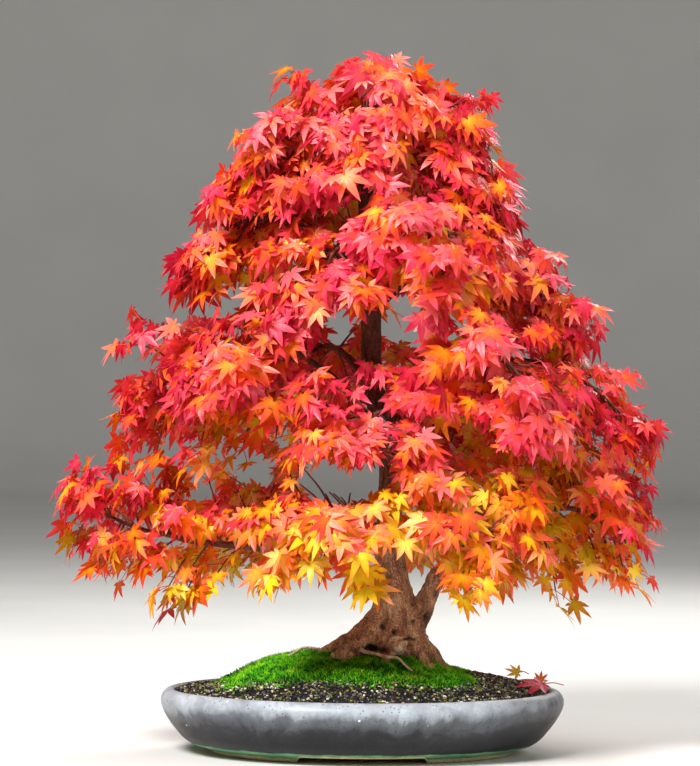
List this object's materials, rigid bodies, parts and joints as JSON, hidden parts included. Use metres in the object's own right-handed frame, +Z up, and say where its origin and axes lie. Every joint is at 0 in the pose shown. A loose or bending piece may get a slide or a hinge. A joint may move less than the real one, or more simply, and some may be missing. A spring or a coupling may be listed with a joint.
{
  "type": "bonsai tree in a pot",
  "caption": "Small trained maple in autumn leaf, tiered branches over a tapering trunk and mossy soil mound, in a shallow oval glazed pot on feet.",
  "frame": {"origin": "on the surface the pot stands on, under the middle of the whole object's bounding box", "axes": "+Z up, +X along the pot's length to the right as it is viewed, -Y towards the viewer"},
  "size_m": [0.6074, 0.4506, 0.6947],
  "materials": {
    "glaze": "satin",
    "screen": "matte",
    "grit": "matte",
    "moss": "matte",
    "bark": "matte",
    "leaf_orange": "satin",
    "leaf_pink": "satin",
    "leaf_red": "satin",
    "leaf_yellow": "satin"
  },
  "bodies": {
    "root": {"pot": "glaze", "drain_screen_left": "screen", "drain_screen_right": "screen", "soil": "grit", "moss": "moss", "trunk": "bark", "foliage_low_01": "leaf_orange", "foliage_low_02": "leaf_orange", "foliage_low_03": "leaf_orange", "foliage_low_04": "leaf_orange", "foliage_low_05": "leaf_orange", "foliage_low_06": "leaf_orange", "foliage_middle_01": "leaf_pink", "foliage_middle_02": "leaf_pink", "foliage_middle_03": "leaf_pink", "foliage_middle_04": "leaf_pink", "foliage_middle_05": "leaf_pink", "foliage_middle_06": "leaf_pink", "foliage_middle_07": "leaf_pink", "foliage_upper_01": "leaf_red", "foliage_upper_02": "leaf_red", "foliage_upper_03": "leaf_red", "foliage_upper_04": "leaf_red", "foliage_upper_05": "leaf_red", "foliage_upper_06": "leaf_red", "foliage_top_01": "leaf_red", "foliage_top_02": "leaf_red", "foliage_top_03": "leaf_red", "foliage_top_04": "leaf_red", "foliage_crown_01": "leaf_red", "foliage_crown_02": "leaf_red", "foliage_crown_03": "leaf_red", "foliage_crown_04": "leaf_red", "foliage_crown_05": "leaf_red", "foliage_apex_01": "leaf_red", "fallen_leaf_red": "leaf_red", "fallen_leaf_orange": "leaf_orange", "fallen_leaf_yellow": "leaf_yellow"}
  },
  "joints": []
}
